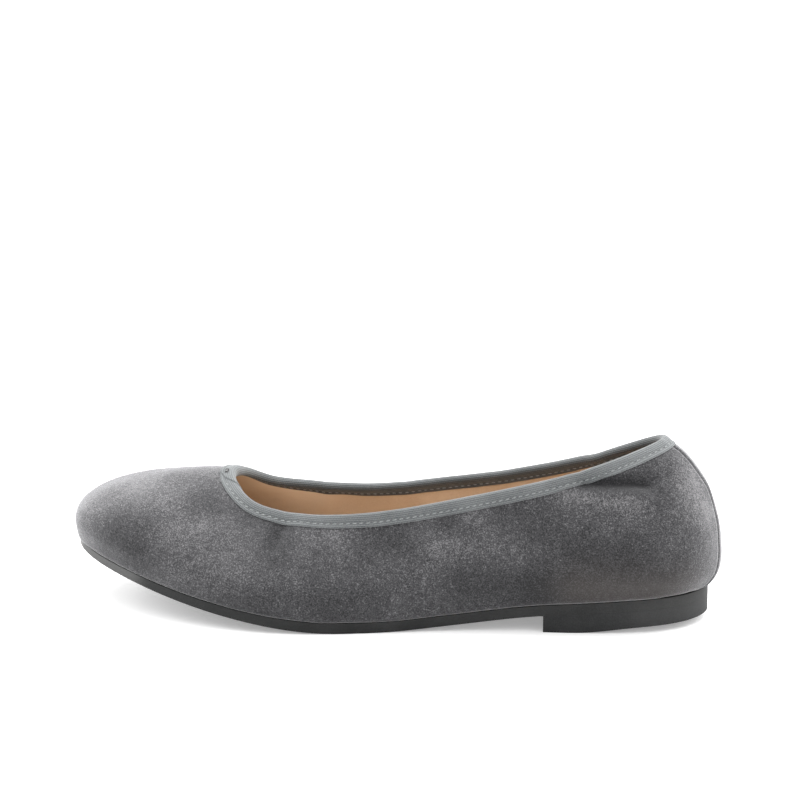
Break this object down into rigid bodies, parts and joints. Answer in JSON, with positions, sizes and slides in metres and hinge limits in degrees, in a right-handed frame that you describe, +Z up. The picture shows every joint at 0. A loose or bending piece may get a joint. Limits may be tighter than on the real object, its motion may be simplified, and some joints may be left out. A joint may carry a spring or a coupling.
{
  "type": "ballet flat",
  "caption": "Left ballet flat: a low suede slip-on shoe with a tape-bound topline, a thin curved rubber sole and a low heel lift.",
  "frame": {"origin": "on the floor under the middle of the shoe's bounding box", "axes": "+Z up, +X towards the heel, so the toe points to -X; the outer side of the foot is at -Y"},
  "size_m": [0.252, 0.0832, 0.0695],
  "materials": {
    "upper": "grey suede with a short nap",
    "topline_binding": "ribbed grey tape",
    "insole": "smooth tan lining leather",
    "outsole": "matt charcoal",
    "heel": "matt charcoal"
  },
  "bodies": {
    "root": {"upper": "upper", "topline_binding": "topline_binding", "insole": "insole", "outsole": "outsole", "heel": "heel"}
  },
  "joints": []
}
